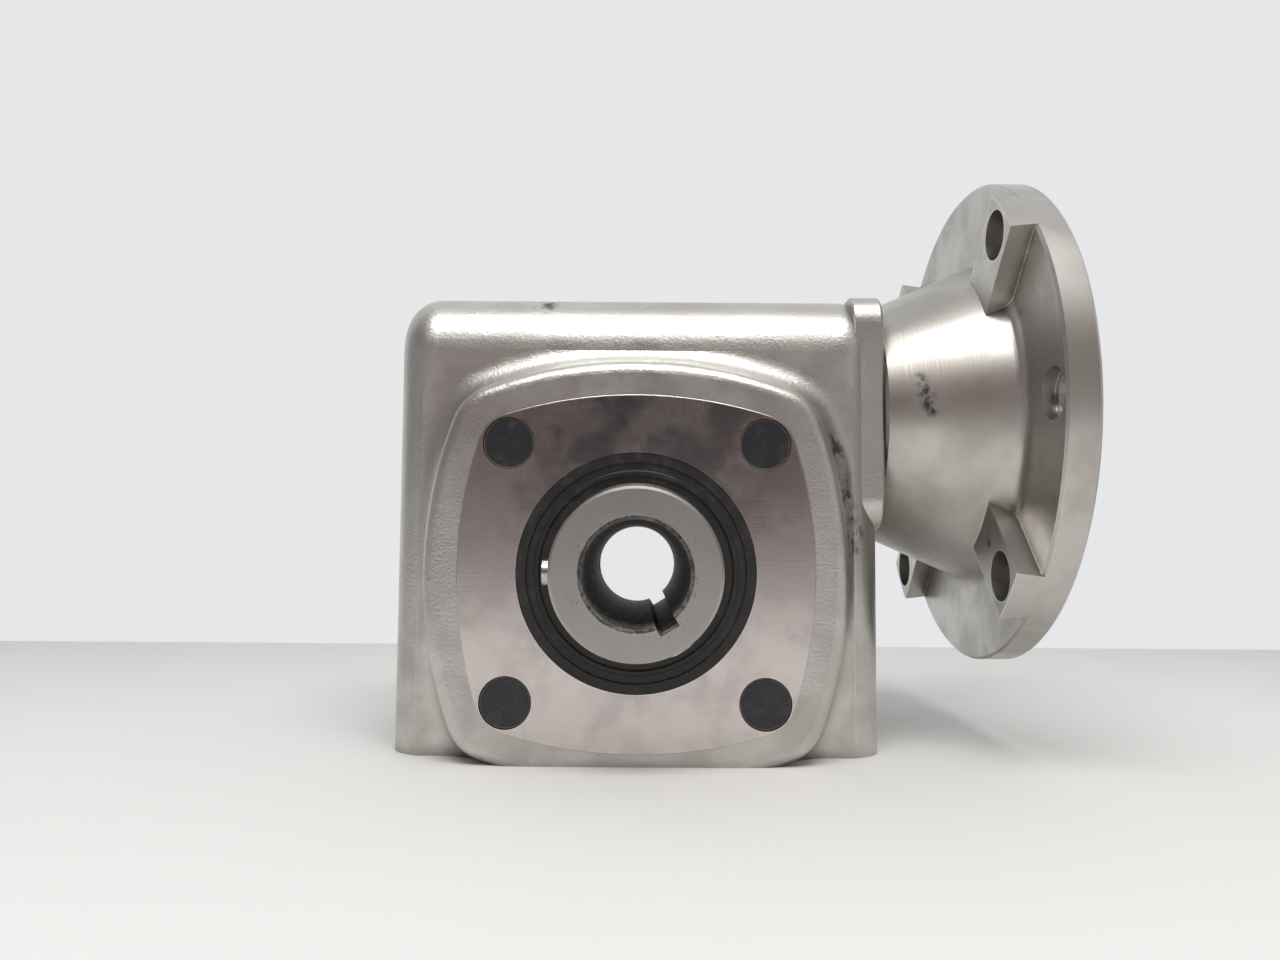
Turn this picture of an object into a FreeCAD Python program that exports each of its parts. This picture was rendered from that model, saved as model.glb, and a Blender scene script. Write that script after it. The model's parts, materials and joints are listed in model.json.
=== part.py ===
import FreeCAD, Part
import math
import os

import Sketcher

# Hollow-bore worm gear reducer with a C-face motor adapter.
# Frame: origin on the output axis, midway between the two output faces. +X points along the
# input axis towards the motor, +Z is up from the mounting base, the output shaft lies along Y.
# All sizes are in millimetres.

V = FreeCAD.Vector
AXES = {"X": V(1, 0, 0), "Y": V(0, 1, 0), "Z": V(0, 0, 1)}
SIDES = {"rear": 0, "front": 180}       # turn about Z that carries a +Y piece to its own side
QUARTERS = (45, 135, 225, 315)          # angles of four-fold patterns, in degrees

SIZES = {
    # gear set
    "centre_distance": 52.4, "module": 2.5, "wheel_teeth": 32, "worm_diameter": 24.8,
    "pressure_angle": 20, "backlash": 0.4, "wheel_half": 12, "thread_half": 21,
    # housing
    "base_z": -58, "top_z": 91, "left_x": -77.8, "right_x": 78.4, "body_half": 40,
    "end_round": 12, "top_round": 20, "wall": 8, "cavity_round": 7,
    "pad_face": 79.6, "pad_half": 38.6, "pad_round": 10, "pad_edge": 1,
    "tail_boss_wall": 6, "tail_boss_long": 26, "input_boss_wall": 10, "input_boss_long": 30,
    "oil_boss_wall": 4, "oil_boss_long": 7, "column_rad": 8.5, "column_long": 16,
    "foot_boss_wall": 6, "foot_boss_long": 13, "tap_rad": 4.05, "tap_deep": 18,
    "base_hole_x": 57, "base_hole_y": 25, "base_hole_rad": 3.97, "base_hole_deep": 14,
    # squircle boss, cover and its fasteners
    "face_y": 54.65, "cover_half": 54.3, "side_arc": 133, "corner_round": 12.1,
    "rim_wide": 4.8, "rim_drop": 0.7, "rim_draft": 15, "rim_round": 4.4, "flare_round": 9, "slip": 0.1,
    "gasket_thick": 0.4, "spigot_rad": 45.5, "spigot_in": 26, "screw_offset": 39.07,
    "plug_hole_rad": 8, "plug_thick": 5.1, "plug_drop": 0.5, "plug_bevel": 0.6,
    "plug_gap": 0.12, "cover_bevel": 0.3, "screw_seat": 3.6, "screw_hole_rad": 4.4,
    "cap_rad": 4, "cap_head_rad": 6.5, "cap_head_long": 5, "cap_long": 19,
    # output shaft, bearings and seals
    "shaft_half": 70.6, "bore_rad": 15.875, "end_rad": 25.4, "bore_chamfer": 1.1,
    "journal_rad": 27.5, "seat_rad": 29, "collar_rad": 33, "key_wide": 6.35,
    "key_reach": 18.85, "key_angle": -58.5, "set_screw_rad": 4, "set_screw_y": 62.5,
    "out_bearing_rad": 40, "out_bearing_wide": 13, "out_bearing_y": 27,
    "seal_rad": 36.5, "seal_wide": 9, "seal_drop": 0.2, "running": 0.05,
    # worm shaft
    "quill_rad": 12.5, "quill_end": 118, "quill_bore": 7.9375, "quill_deep": 52,
    "quill_key_wide": 4.7625, "quill_key_reach": 10.07, "worm_collar_rad": 14,
    "out_ball": 3.5, "in_ball": 3.9, "tail_ball": 3.3,
    "in_bearing_x": 49, "in_bearing_wide": 15, "in_bearing_rad": 26,
    "tail_x": -61.5, "tail_bearing_wide": 12, "tail_bearing_rad": 20, "tail_rad": 8.5,
    "in_seal_x": 69.5, "in_seal_wide": 7, "ring_thick": 1.2,
    # motor adapter
    "neck_x": 80, "neck_rad": 39.8, "bell_rad": 56.3, "flange_x": 118.4, "motor_face": 128.8,
    "flange_rad": 83.4, "register_rad": 57.15, "register_deep": 5, "bolt_circle_rad": 74.6,
    "counterbore_rad": 7.75, "bolt_hole_rad": 5.25, "bolt_web": 6.5, "lug_x": 110.6,
    "lug_wide": 20, "lug_draft": 9, "bell_fillet": 4, "adapter_wall_x": 88,
    "adapter_screw_circle": 31, "adapter_screw_rad": 3, "adapter_head_rad": 4.9,
    "adapter_head_long": 6, "adapter_screw_long": 21, "bell_mouth_rad": 50,
    "bell_throat_rad": 36.9, "adapter_bore_rad": 20, "adapter_nose": 2.4,
    # oil plugs
    "oil_plug_rad": 6.6, "oil_plug_long": 7.5, "fill_z": 12, "drain_z": -38,
    # wheel key, clear run of a cutting tool past a face
    "wheel_key_wide": 8, "wheel_key_half": 10, "wheel_key_deep": 4, "past": 1, "through": 60,
}

doc = FreeCAD.newDocument("worm_gear_reducer")
sheet = doc.addObject("Spreadsheet::Sheet", "sheet")
sheet.Label = "sheet"
for row, (alias, number) in enumerate(SIZES.items(), 1):
    sheet.set(f"A{row}", alias)
    sheet.set(f"B{row}", str(number))
    sheet.setAlias(f"B{row}", alias)
doc.recompute()

parts = {}


# ---------------------------------------------------------------- helpers

def size(expression):
    """Value of an expression over the sheet, such as 'bore_rad + 2'."""
    return float(sheet.evalExpression(str(expression)))


def linked(expression):
    """The same expression written for an object outside the sheet."""
    text = str(expression)
    for alias in sorted(SIZES, key=len, reverse=True):
        text = text.replace(alias, "<" + str(list(SIZES).index(alias)) + ">")
    for place, alias in enumerate(SIZES):
        text = text.replace(f"<{place}>", "sheet." + alias)
    return text


def bind(thing, prop, expression):
    thing.setExpression(prop, linked(expression))


def place(thing, base=("0", "0", "0"), axis="Z", angle=0):
    """Turn a piece about an axis and bind its position."""
    thing.Placement = FreeCAD.Placement(V(*[size(e) for e in base]), FreeCAD.Rotation(AXES[axis], angle))
    for letter, expression in zip("xyz", base):
        bind(thing, f"Placement.Base.{letter}", expression)
    return thing


def keep(node, thing):
    """Name a finished sub-part after its node."""
    thing.Label = node
    parts[node] = thing
    return thing


def aim(thing, axis, start):
    """Point a primitive along an axis, a letter or a vector, and bind where it starts."""
    along = AXES[axis] if isinstance(axis, str) else axis
    turn = FreeCAD.Rotation(AXES["Z"], along)
    thing.Placement = FreeCAD.Placement(V(*[size(e) for e in start]), turn)
    for letter, expression in zip("xyz", start):
        bind(thing, f"Placement.Base.{letter}", expression)
    return thing


def cylinder(name, radius, length, axis="Z", start=("0", "0", "0")):
    """Round bar from start along +axis."""
    bar = doc.addObject("Part::Cylinder", name)
    bind(bar, "Radius", radius)
    bind(bar, "Height", length)
    return aim(bar, axis, start)


def hexagon(name, radius, length, axis, start):
    """Six-sided bar, the tool for a wrench socket."""
    bar = doc.addObject("Part::Prism", name)
    bar.Polygon = 6
    bind(bar, "Circumradius", radius)
    bind(bar, "Height", length)
    return aim(bar, axis, start)


def block(name, low, high):
    """Rectangular block between two corners."""
    piece = doc.addObject("Part::Box", name)
    for prop, a, b in zip(("Length", "Width", "Height"), low, high):
        bind(piece, prop, f"({b}) - ({a})")
    return place(piece, low)


def fuse(name, shapes):
    joined = doc.addObject("Part::MultiFuse", name)
    joined.Shapes = shapes
    return joined


def cut(name, base, tools):
    """Base less every tool."""
    removed = tools[0]
    if len(tools) > 1:
        removed = fuse(name + "_tools", tools)
    result = doc.addObject("Part::Cut", name)
    result.Base = base
    result.Tool = removed
    return result


def common(name, first, second):
    shared = doc.addObject("Part::MultiCommon", name)
    shared.Shapes = [first, second]
    return shared


def group(name, shapes):
    """Separate solids that share one node."""
    bundle = doc.addObject("Part::Compound", name)
    bundle.Links = shapes
    return bundle


def origin_plane(body, role):
    return next(plane for plane in body.Origin.OriginFeatures if plane.Role == role)


def new_sketch(body, name, role):
    sketch = body.newObject("Sketcher::SketchObject", name)
    sketch.AttachmentSupport = [(origin_plane(body, role), "")]
    sketch.MapMode = "FlatFace"
    return sketch


def pin_point(sketch, line, end, pair):
    """Bind one point of a sketch to a pair of expressions."""
    for kind, expression in zip(("DistanceX", "DistanceY"), pair):
        index = sketch.addConstraint(Sketcher.Constraint(kind, -1, 1, line, end, size(expression)))
        sketch.setExpression(f"Constraints[{index}]", linked(expression))


def outline(body, name, role, points):
    """Closed outline of straight lines through points given as expressions."""
    sketch = new_sketch(body, name, role)
    corners = [V(size(u), size(v), 0) for u, v in points]
    count = len(points)
    for i in range(count):
        sketch.addGeometry(Part.LineSegment(corners[i], corners[(i + 1) % count]), False)
    for i in range(count):
        sketch.addConstraint(Sketcher.Constraint("Coincident", i, 2, (i + 1) % count, 1))
    for i, pair in enumerate(points):
        pin_point(sketch, i, 1, pair)
    return sketch


def turned(name, axis, points):
    """Body of revolution about X, points (x, radius), or about Y, points (radius, y)."""
    body = doc.addObject("PartDesign::Body", name)
    sketch = outline(body, name + "_outline", "XY_Plane", points)
    solid = body.newObject("PartDesign::Revolution", name + "_turn")
    solid.Profile = sketch
    solid.ReferenceAxis = (sketch, ["H_Axis" if axis == "X" else "V_Axis"])
    solid.Angle = 360
    if axis == "X":
        bind(body, "Placement.Base.z", "centre_distance")
    return body


def squircle_sketch(body, name, half, level):
    """Four bulged sides meeting at corners, on the plane y = level."""
    sketch = new_sketch(body, name, "XZ_Plane")
    radius = size("side_arc")
    inset = radius - size(half)
    corner = (math.sqrt(2 * radius ** 2 - inset ** 2) - inset) / 2
    reach = math.asin(corner / radius)
    for side in range(4):
        heading = side * math.pi / 2
        middle = V(-inset * math.cos(heading), -inset * math.sin(heading), 0)
        circle = Part.Circle(middle, AXES["Z"], radius)
        sketch.addGeometry(Part.ArcOfCircle(circle, heading - reach, heading + reach), False)
    for side in range(4):
        along_x = round(math.cos(side * math.pi / 2))
        along_z = round(math.sin(side * math.pi / 2))
        sketch.addConstraint(Sketcher.Constraint("Coincident", side, 2, (side + 1) % 4, 1))
        pin_point(sketch, side, 3, (f"{along_x} * ({half} - side_arc)", f"{along_z} * ({half} - side_arc)"))
        index = sketch.addConstraint(Sketcher.Constraint("Radius", side, radius))
        sketch.setExpression(f"Constraints[{index}]", linked("side_arc"))
    bind(sketch, "AttachmentOffset.Base.z", f"-({level})")
    return sketch


def pad_squircle(body, name, half, low, high, corner, draft="0"):
    """Squircle plate from y = low to y = high, its corners rounded."""
    plate = body.newObject("PartDesign::Pad", name)
    plate.Profile = squircle_sketch(body, name + "_outline", half, low)
    plate.Reversed = True
    bind(plate, "Length", f"({high}) - ({low})")
    bind(plate, "TaperAngle", draft)
    doc.recompute()
    return round_edges(body, name + "_corners", plate, corner, crosses_level)


def crosses_level(edge):
    return abs(edge.Vertexes[0].Y - edge.Vertexes[-1].Y) > 0.1


def round_edges(body, name, feature, radius, wanted, kind="PartDesign::Fillet"):
    """Round or chamfer the feature's edges that the test picks."""
    doc.recompute()
    edges = [f"Edge{i}" for i, edge in enumerate(feature.Shape.Edges, 1) if wanted(edge)]
    rounded = body.newObject(kind, name)
    rounded.Base = (feature, edges)
    bind(rounded, "Radius" if kind.endswith("Fillet") else "Size", radius)
    doc.recompute()
    return rounded


def four_corners(offset):
    """The four cover-screw places as (x, z) expressions."""
    return [(f"{a} * {offset}", f"{b} * {offset}") for a in (-1, 1) for b in (-1, 1)]


def around_input(radius, angle):
    """A place on a circle round the input axis as (y, z) expressions."""
    y = f"({radius}) * {math.cos(math.radians(angle)):.6f}"
    z = f"centre_distance + ({radius}) * {math.sin(math.radians(angle)):.6f}"
    return y, z


# ---------------------------------------------------------------- housing

def casing_block():
    """Rounded rectangular casting, flat underneath."""
    body = doc.addObject("PartDesign::Body", "casing_block")
    corners = [("left_x", "-body_half"), ("right_x", "-body_half"),
               ("right_x", "body_half"), ("left_x", "body_half")]
    solid = body.newObject("PartDesign::Pad", "casing_pad")
    solid.Profile = outline(body, "casing_outline", "XY_Plane", corners)
    bind(solid, "Length", "top_z - base_z")
    bind(body, "Placement.Base.z", "base_z")
    doc.recompute()
    tall = size("top_z - base_z")

    def long_top(edge):
        middle = edge.CenterOfMass
        return abs(middle.z - tall) < 0.01 and abs(middle.y) > 1

    def end_edge(edge):
        middle = edge.CenterOfMass
        at_end = min(abs(v.X - size(e)) for v in edge.Vertexes for e in ("left_x", "right_x")) < 0.01
        stays = abs(edge.Vertexes[0].X - edge.Vertexes[-1].X) < 0.01
        return at_end and stays and middle.z > 0.01

    rounded = round_edges(body, "casing_top_rounds", solid, "top_round", long_top)
    round_edges(body, "casing_end_rounds", rounded, "end_round", end_edge)
    return body


def boss_flare(side):
    """Raised squircle boss whose wall sweeps out into the casting."""
    body = doc.addObject("PartDesign::Body", side + "_flare")
    slab = body.newObject("PartDesign::Pad", side + "_slab")
    reach = "cover_half + flare_round + 6"
    lower = "base_z - flare_round - 6"
    upper = "top_z - top_round - 0.2"
    corners = [(f"-({reach})", lower), (reach, lower), (reach, upper), (f"-({reach})", upper)]
    sketch = outline(body, side + "_slab_outline", "XZ_Plane", corners)
    bind(sketch, "AttachmentOffset.Base.z", "wall - body_half")
    slab.Profile = sketch
    slab.Reversed = True
    bind(slab, "Length", "wall")
    doc.recompute()
    top = "face_y - rim_drop"
    slope = math.tan(math.radians(SIZES["rim_draft"]))
    spread = f"cover_half + rim_wide + ({top} - body_half) * {slope:.5f}"
    raised = pad_squircle(body, side + "_boss", spread, "body_half", top, "corner_round + rim_wide",
                          "rim_draft")
    level = size("body_half")
    rim_level = size(top)

    def boss_root(edge):
        flat = all(abs(v.Y - level) < 0.01 for v in edge.Vertexes)
        return flat and max(abs(edge.CenterOfMass.x), abs(edge.CenterOfMass.z)) < size("cover_half + 10")

    def rim_edge(edge):
        return all(abs(v.Y - rim_level) < 0.01 for v in edge.Vertexes)

    swept = round_edges(body, side + "_sweep", raised, "flare_round", boss_root)
    round_edges(body, side + "_rim_round", swept, "rim_round", rim_edge)
    under = block(side + "_below_base", (f"-({reach}) - past", "0", "base_z - through"),
                  (f"{reach} + past", "face_y + past", "base_z"))
    return place(cut(side + "_boss_trimmed", body, [under]), angle=SIDES[side])


def input_pad():
    """Square machined pad around the input bore."""
    low = ("right_x - wall", "-pad_half", "centre_distance - pad_half")
    high = ("pad_face", "pad_half", "centre_distance + pad_half")
    pad = block("input_pad_block", low, high)
    doc.recompute()
    rounded = doc.addObject("Part::Fillet", "input_pad")
    rounded.Base = pad
    along = []
    outer = []
    for index, edge in enumerate(pad.Shape.Edges, 1):
        if abs(edge.Vertexes[0].X - edge.Vertexes[-1].X) > 1:
            along.append((index, size("pad_round"), size("pad_round")))
        elif edge.CenterOfMass.x > size("right_x"):
            outer.append((index, size("pad_edge"), size("pad_edge")))
    rounded.Edges = along + outer
    return rounded


def base_holes():
    """The four foot-hole places as (x, y) expressions."""
    return [(f"{a} * base_hole_x", f"{b} * base_hole_y") for a in (-1, 1) for b in (-1, 1)]


def inner_cavity():
    """Oil space, less the bosses that stand into it."""
    low = ("left_x + wall", "wall - body_half", "base_z + wall")
    high = ("right_x - wall", "body_half - wall", "top_z - wall")
    space = block("cavity_block", low, high)
    doc.recompute()
    rounded = doc.addObject("Part::Fillet", "cavity_rounded")
    rounded.Base = space
    radius = size("cavity_round")
    rounded.Edges = [(i, radius, radius) for i in range(1, len(space.Shape.Edges) + 1)]
    line = ("0", "centre_distance")
    bosses = [
        cylinder("tail_boss", "tail_bearing_rad + tail_boss_wall", "tail_boss_long", "X",
                 ("left_x + wall - 2 * past", *line)),
        cylinder("input_boss", "in_bearing_rad + input_boss_wall", "input_boss_long", "X",
                 ("in_bearing_x - 5 * past", *line)),
    ]
    for level in ("fill_z", "drain_z"):
        bosses.append(cylinder("oil_boss", "oil_plug_rad + oil_boss_wall", "oil_boss_long", "X",
                               ("left_x + wall - 2 * past", "0", level)))
    for x, z in four_corners("screw_offset"):
        for start in ("body_half - tap_deep - 4 * past", "tap_deep - body_half + 4 * past - column_long"):
            bosses.append(cylinder("screw_column", "column_rad", "column_long", "Y", (x, start, z)))
    for x, y in base_holes():
        bosses.append(cylinder("base_boss", "base_hole_rad + foot_boss_wall", "foot_boss_long", "Z",
                               (x, y, "base_z + wall - 3 * past")))
    return cut("inner_cavity", rounded, bosses)


def housing_bores():
    """Every machined bore, seat and tapped hole."""
    line = ("0", "centre_distance")
    ring_x = "in_bearing_x + in_bearing_wide + slip"
    bores = [
        cylinder("cover_bore", "spigot_rad + slip", "2 * (body_half + past)", "Y",
                 ("0", "-body_half - past", "0")),
        cylinder("in_bearing_bore", "in_bearing_rad", "through", "X", ("in_bearing_x", *line)),
        cylinder("worm_passage", "in_bearing_rad - 5", "12", "X", ("in_bearing_x - 10", *line)),
        cylinder("tail_pocket", "tail_bearing_rad", "20", "X", ("tail_x", *line)),
        cylinder("tail_relief", "tail_bearing_rad - 4", "4", "X", ("tail_x - 1.5", *line)),
        cylinder("ring_groove", "in_bearing_rad + 1.3", "ring_thick + 0.4", "X", (ring_x, *line)),
    ]
    for level in ("fill_z", "drain_z"):
        bores.append(cylinder("oil_hole", "oil_plug_rad", "20", "X", ("left_x - past", "0", level)))
    for x, z in four_corners("screw_offset"):
        for start in ("body_half - tap_deep", "-body_half - 2 * past"):
            bores.append(cylinder("cover_tapped", "tap_rad", "tap_deep + 2 * past", "Y", (x, start, z)))
    for angle in QUARTERS:
        start = ("pad_face - 15", *around_input("adapter_screw_circle", angle))
        bores.append(cylinder("adapter_tapped", "adapter_screw_rad + running", "20", "X", start))
    for x, y in base_holes():
        foot = (x, y, "base_z - past")
        bores.append(cylinder("base_tapped", "base_hole_rad", "base_hole_deep + past", "Z", foot))
    return bores


def cover_pocket(side):
    """Recess in the boss that the cover drops into."""
    body = doc.addObject("PartDesign::Body", side + "_pocket")
    pad_squircle(body, side + "_recess", "cover_half + slip", "body_half", "face_y + past",
                 "corner_round + slip")
    return place(body, angle=SIDES[side])


def make_housing():
    solids = [casing_block(), boss_flare("front"), boss_flare("rear"), input_pad()]
    cast = fuse("housing_cast", solids)
    removed = [inner_cavity(), cover_pocket("front"), cover_pocket("rear")] + housing_bores()
    keep("housing", cut("housing_machined", cast, removed))


# ---------------------------------------------------------------- covers and their fasteners

def make_cover(side):
    """Squircle cover with bearing seat, seal bore and counterbored corners."""
    body = doc.addObject("PartDesign::Body", side + "_cover_plate")
    low = "body_half + gasket_thick"
    plate = pad_squircle(body, side + "_plate", "cover_half", low, "face_y", "corner_round")
    face = size("face_y")
    round_edges(body, side + "_plate_chamfer", plate, "cover_bevel",
                lambda edge: all(abs(v.Y - face) < 0.01 for v in edge.Vertexes), "PartDesign::Chamfer")
    spigot = cylinder(side + "_spigot", "spigot_rad", f"{low} - spigot_in + past", "Y",
                      ("0", "spigot_in", "0"))
    shoulder = "out_bearing_y + out_bearing_wide"
    tools = [
        cylinder(side + "_bearing_seat", "out_bearing_rad", f"{shoulder} - spigot_in + past", "Y",
                 ("0", "spigot_in - past", "0")),
        cylinder(side + "_shaft_clearance", "out_bearing_rad - 6", "through", "Y", ("0", shoulder, "0")),
        cylinder(side + "_seal_bore", "seal_rad", "through", "Y",
                 ("0", "face_y - seal_drop - seal_wide", "0")),
    ]
    for x, z in four_corners("screw_offset"):
        tools.append(cylinder(side + "_counterbore", "plug_hole_rad", "through", "Y",
                              (x, "body_half + screw_seat", z)))
        tools.append(cylinder(side + "_clearance", "screw_hole_rad", "through", "Y",
                              (x, "body_half - wall", z)))
    cover = cut(side + "_cover_cut", fuse(side + "_cover_blank", [body, spigot]), tools)
    keep(side + "_cover", place(cover, angle=SIDES[side]))


def make_cover_gasket(side):
    """Thin sheet between cover and housing."""
    body = doc.addObject("PartDesign::Body", side + "_gasket_sheet")
    pad_squircle(body, side + "_sheet", "cover_half - 5 * slip", "body_half", "body_half + gasket_thick",
                 "corner_round")
    start = "body_half - past"
    tools = [cylinder(side + "_gasket_bore", "spigot_rad + 2 * slip", "wall", "Y", ("0", start, "0"))]
    for x, z in four_corners("screw_offset"):
        tools.append(cylinder(side + "_gasket_hole", "screw_hole_rad", "wall", "Y", (x, start, z)))
    gasket = cut(side + "_gasket_cut", body, tools)
    keep(side + "_cover_gasket", place(gasket, angle=SIDES[side]))


def socket_screw(name, shank, head, head_long, shank_long, axis, seat):
    """Cap screw with a hexagon socket; seat is the point under its head, +axis its head end."""
    offset = "XYZ".index(axis)
    foot = list(seat)
    foot[offset] = f"{seat[offset]} - {shank_long}"
    socket_start = list(seat)
    socket_start[offset] = f"{seat[offset]} + 0.4 * {head_long}"
    screw = fuse(name + "_solid", [
        cylinder(name + "_shank", shank, f"{shank_long} + 0.5", axis, tuple(foot)),
        cylinder(name + "_head", head, head_long, axis, tuple(seat)),
    ])
    socket = hexagon(name + "_socket", f"0.55 * {head}", head_long, axis, tuple(socket_start))
    return cut(name, screw, [socket])


def make_cover_screws(side):
    screws = []
    for x, z in four_corners("screw_offset"):
        screws.append(socket_screw(side + "_cap_screw", "cap_rad", "cap_head_rad", "cap_head_long", "cap_long",
                                   "Y", (x, "body_half + screw_seat", z)))
    keep(side + "_cover_screws", place(group(side + "_screw_set", screws), angle=SIDES[side]))


def make_screw_plugs(side):
    """Rubber plugs pressed over the screw heads, their rims chamfered."""
    plugs = []
    outer = "face_y - plug_drop"
    radius = "plug_hole_rad - plug_gap"
    for x, z in four_corners("screw_offset"):
        points = [("0", f"{outer} - plug_thick"), (radius, f"{outer} - plug_thick"),
                  (radius, f"{outer} - plug_bevel"), (f"{radius} - plug_bevel", outer), ("0", outer)]
        plug = turned(side + "_plug", "Y", points)
        plugs.append(place(plug, (x, "0", z)))
    keep(side + "_screw_plugs", place(group(side + "_plug_set", plugs), angle=SIDES[side]))


# ---------------------------------------------------------------- seals and rolling bearings

def make_output_seal(side):
    """Rubber-covered lip seal with stepped outer face and an inner spring channel."""
    outer = "face_y - seal_drop"
    inner = f"{outer} - seal_wide"
    lip = "end_rad + running"
    points = [
        ("seal_rad - 0.03", outer), ("seal_rad - 3", outer), ("seal_rad - 3.4", f"{outer} - 0.5"),
        ("seal_rad - 5.4", f"{outer} - 0.5"), ("seal_rad - 5.8", f"{outer} - 0.15"),
        ("seal_rad - 6.8", f"{outer} - 0.15"), ("seal_rad - 7.4", f"{outer} - 0.8"),
        (f"{lip} + 1.7", f"{outer} - 0.8"), (f"{lip} + 0.8", f"{outer} - 0.2"), (lip, f"{outer} - 0.2"),
        (lip, f"{outer} - 0.9"), (f"{lip} + 1.6", f"{outer} - 2.2"), (f"{lip} + 1.6", f"{inner} + 3"),
        (lip, f"{inner} + 1.8"), (lip, f"{inner} + 1.2"), (f"{lip} + 1", inner), (f"{lip} + 2.4", inner),
        (f"{lip} + 2.4", f"{inner} + 5"), (f"{lip} + 6.5", f"{inner} + 5"), (f"{lip} + 6.5", inner),
        ("seal_rad - 0.03", inner),
    ]
    keep(side + "_output_seal", place(turned(side + "_seal_body", "Y", points), angle=SIDES[side]))


def ring_torus(name, ring, wire, axis, start):
    torus = doc.addObject("Part::Torus", name)
    bind(torus, "Radius1", ring)
    bind(torus, "Radius2", wire)
    return aim(torus, axis, start)


def make_output_seal_spring(side):
    """Garter spring that closes the lip."""
    spring = ring_torus(side + "_garter", "end_rad + running + 3.3", "0.8", "Y",
                        ("0", "face_y - seal_drop - seal_wide + 1.4", "0"))
    keep(side + "_seal_spring", place(group(side + "_garter_set", [spring]), angle=SIDES[side]))


def make_input_seal():
    """Smaller lip seal outboard of the input bearing."""
    lip = "quill_rad + running"
    outer = "in_seal_x + in_seal_wide"
    points = [
        (outer, "in_bearing_rad - 0.03"), (outer, f"{lip} + 1.5"), (f"{outer} - 0.8", lip),
        (f"{outer} - 1.6", lip), (f"{outer} - 2.4", f"{lip} + 1.5"), ("in_seal_x + 2.6", f"{lip} + 1.5"),
        ("in_seal_x + 1.6", lip), ("in_seal_x + 1", lip), ("in_seal_x", f"{lip} + 1"),
        ("in_seal_x", f"{lip} + 2.2"), ("in_seal_x + 4", f"{lip} + 2.2"), ("in_seal_x + 4", f"{lip} + 7"),
        ("in_seal_x", f"{lip} + 7"), ("in_seal_x", "in_bearing_rad - 0.03"),
    ]
    keep("input_seal", turned("input_seal_body", "X", points))
    spring = ring_torus("input_garter", f"{lip} + 3.05", "0.7", "X",
                        ("in_seal_x + 1.3", "0", "centre_distance"))
    keep("input_seal_spring", group("input_garter_set", [spring]))


def bearing_ring(name, axis, inner, outer, start, wide, bevel):
    """Plain ring with chamfered corners."""
    across = [(inner, start, "+"), (outer, start, "-")]
    low = [(f"{r} {sign} {bevel}", y) for r, y, sign in across]
    points = [
        low[0], low[1], (outer, f"{start} + {bevel}"), (outer, f"{start} + {wide} - {bevel}"),
        (f"{outer} - {bevel}", f"{start} + {wide}"), (f"{inner} + {bevel}", f"{start} + {wide}"),
        (inner, f"{start} + {wide} - {bevel}"), (inner, f"{start} + {bevel}"),
    ]
    if axis == "X":
        points = [(y, r) for r, y in points]
    return turned(name, axis, points)


def make_bearing(node, axis, bore, outside, wide, start, ball, balls, turn=0):
    """Deep-groove ball bearing: two rings, balls and a pocketed cage."""
    pitch = f"(({bore}) + ({outside})) / 2"
    middle = f"{start} + {wide} / 2"
    centre = ("0", middle, "0") if axis == "Y" else (middle, "0", "centre_distance")
    rings = (
        (node + "_inner_ring", bore, f"{pitch} - 0.55 * {ball}"),
        (node + "_outer_ring", f"{pitch} + 0.55 * {ball}", f"{outside} - 0.02"),
    )
    for name, inner, outer in rings:
        race = ring_torus(name + "_race", pitch, f"{ball} + running", axis, centre)
        blank = bearing_ring(name + "_blank", axis, inner, outer, start, wide, "0.5")
        keep(name, place(cut(name + "_cut", blank, [race]), angle=turn))
    spheres = []
    pockets = []
    for index in range(balls):
        angle = 2 * math.pi * index / balls
        across, up = math.cos(angle), math.sin(angle)

        def spot(radius):
            if axis == "Y":
                return (f"({radius}) * {across:.6f}", middle, f"({radius}) * {up:.6f}")
            return (middle, f"({radius}) * {across:.6f}", f"centre_distance + ({radius}) * {up:.6f}")

        outward = V(across, 0, up) if axis == "Y" else V(0, across, up)
        sphere = doc.addObject("Part::Sphere", node + "_ball")
        bind(sphere, "Radius", ball)
        spheres.append(place(sphere, spot(pitch)))
        pockets.append(cylinder(node + "_pocket", f"{ball} + slip", f"3 * {ball}", outward,
                                spot(f"{pitch} - 1.5 * {ball}")))
    keep(node + "_balls", place(group(node + "_ball_set", spheres), angle=turn))
    half = f"1.25 * {ball}"
    web = bearing_ring(node + "_cage_blank", axis, f"{pitch} - 0.3 * {ball}", f"{pitch} + 0.3 * {ball}",
                       f"{middle} - {half}", f"2 * {half}", "0.2")
    keep(node + "_cage", place(cut(node + "_cage_cut", web, pockets), angle=turn))


def make_bearings():
    for side, turn in SIDES.items():
        make_bearing(side + "_bearing", "Y", "journal_rad", "out_bearing_rad", "out_bearing_wide",
                     "out_bearing_y", "out_ball", 16, turn)
    make_bearing("input_bearing", "X", "quill_rad", "in_bearing_rad", "in_bearing_wide",
                 "in_bearing_x", "in_ball", 9)
    make_bearing("tail_bearing", "X", "tail_rad", "tail_bearing_rad", "tail_bearing_wide",
                 "tail_x", "tail_ball", 8)


# ---------------------------------------------------------------- output shaft and wheel

def radial_box(name, wide, low_y, high_y, inner, outer, angle):
    """Block reaching outwards from the output axis at an angle in the XZ plane."""
    bar = block(name, (inner, low_y, f"-({wide}) / 2"), (outer, high_y, f"({wide}) / 2"))
    holder = group(name + "_turned", [bar])
    return place(holder, axis="Y", angle=-angle)


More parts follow.
